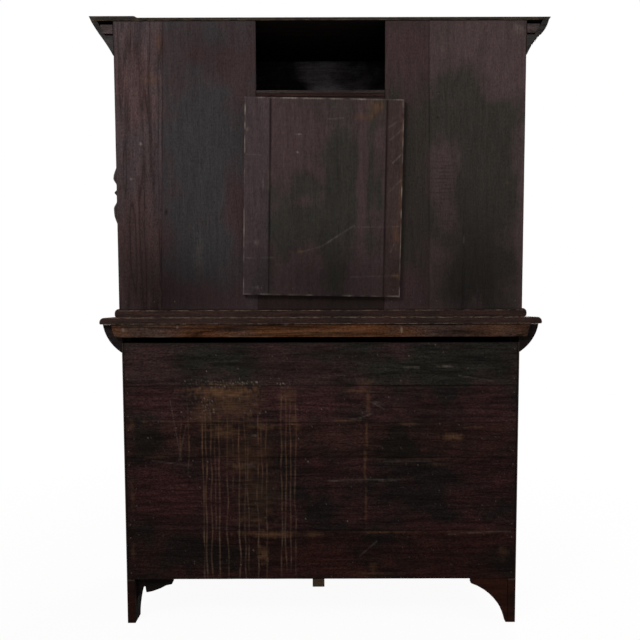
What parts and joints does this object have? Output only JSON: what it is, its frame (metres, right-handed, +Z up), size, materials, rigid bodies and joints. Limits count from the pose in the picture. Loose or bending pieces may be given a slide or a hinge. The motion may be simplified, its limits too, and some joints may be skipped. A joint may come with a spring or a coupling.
{
  "type": "sideboard",
  "caption": "Two-stage dark oak sideboard: a cupboard base with drawers and panelled doors on bracket feet, carrying a shallower panelled hutch with an ogee cornice and a boarded back.",
  "frame": {"origin": "on the floor, under the middle of the whole piece", "axes": "+Z up, -Y towards the front with the doors, +X to the right seen from the front"},
  "size_m": [1.4294, 0.5922, 1.9405],
  "materials": {
    "dark_oak": "near-black stained oak, worn satin",
    "back_boards": "rough sawn back boards, dark wash, matt",
    "brown_oak": "brown oak, waxed and rubbed",
    "raw_oak": "unfinished oak, dry",
    "turned_knobs": "turned oak, dark polish",
    "iron_pins": "wrought iron, black oxide"
  },
  "bodies": {
    "case": {"base_side_left": "dark_oak", "base_side_right": "dark_oak", "base_bottom": "dark_oak", "drawer_board": "dark_oak", "drawer_partition": "dark_oak", "front_apron": "dark_oak", "rear_bracket_left": "dark_oak", "waist_top": "dark_oak", "waist_moulding_front": "dark_oak", "waist_moulding_left": "dark_oak", "waist_moulding_right": "dark_oak", "hutch_floor": "dark_oak", "hutch_side_left": "dark_oak", "hutch_side_right": "dark_oak", "frieze_rail": "dark_oak", "cornice_front": "dark_oak", "cornice_left": "dark_oak", "cornice_right": "dark_oak", "hutch_top": "dark_oak", "patch_board": "dark_oak", "base_back_board_1": "back_boards", "base_back_board_2": "back_boards", "base_back_board_3": "back_boards", "base_back_board_4": "back_boards", "base_back_board_5": "back_boards", "hutch_back_board_outer_left": "back_boards", "hutch_back_board_inner_left": "back_boards", "hutch_back_board_centre": "back_boards", "hutch_back_board_inner_right": "back_boards", "hutch_back_board_outer_right": "back_boards", "rear_bracket_right": "back_boards", "waist_back_rail": "brown_oak", "hutch_shelf": "brown_oak", "centre_bearer": "raw_oak"},
    "hutch_door_left": {"hutch_door_left_frame": "dark_oak", "hutch_door_left_panel": "dark_oak", "hutch_door_left_knob": "turned_knobs", "hutch_door_left_pin_top": "iron_pins", "hutch_door_left_pin_bottom": "iron_pins"},
    "hutch_door_right": {"hutch_door_right_frame": "dark_oak", "hutch_door_right_panel": "dark_oak", "hutch_door_right_knob": "turned_knobs", "hutch_door_right_pin_top": "iron_pins", "hutch_door_right_pin_bottom": "iron_pins"},
    "base_door_left": {"base_door_left_frame": "dark_oak", "base_door_left_panel": "dark_oak", "base_door_left_knob": "turned_knobs", "base_door_left_pin_top": "iron_pins", "base_door_left_pin_bottom": "iron_pins"},
    "base_door_right": {"base_door_right_frame": "dark_oak", "base_door_right_panel": "dark_oak", "base_door_right_knob": "turned_knobs", "base_door_right_pin_top": "iron_pins", "base_door_right_pin_bottom": "iron_pins"},
    "drawer_left": {"drawer_left_front": "dark_oak", "drawer_left_box": "raw_oak", "drawer_left_knob": "turned_knobs"},
    "drawer_right": {"drawer_right_front": "dark_oak", "drawer_right_box": "raw_oak", "drawer_right_knob": "turned_knobs"}
  },
  "joints": [
    {"name": "hutch_door_left_hinge", "type": "hinge", "parent": "case", "child": "hutch_door_left", "pos_m": [-0.6035, -0.07115, 1.0378], "axis": [0, 0, -1], "range_deg": [0, 95]},
    {"name": "hutch_door_right_hinge", "type": "hinge", "parent": "case", "child": "hutch_door_right", "pos_m": [0.6035, -0.07115, 1.0378], "axis": [0, 0, 1], "range_deg": [0, 95]},
    {"name": "base_door_left_hinge", "type": "hinge", "parent": "case", "child": "base_door_left", "pos_m": [-0.599, -0.22315, 0.172], "axis": [0, 0, -1], "range_deg": [0, 95]},
    {"name": "base_door_right_hinge", "type": "hinge", "parent": "case", "child": "base_door_right", "pos_m": [0.599, -0.22315, 0.172], "axis": [0, 0, 1], "range_deg": [0, 95]},
    {"name": "drawer_left_slide", "type": "slide", "parent": "case", "child": "drawer_left", "axis": [0, -1, 0], "range_m": [0, 0.28]},
    {"name": "drawer_right_slide", "type": "slide", "parent": "case", "child": "drawer_right", "axis": [0, -1, 0], "range_m": [0, 0.28]}
  ]
}
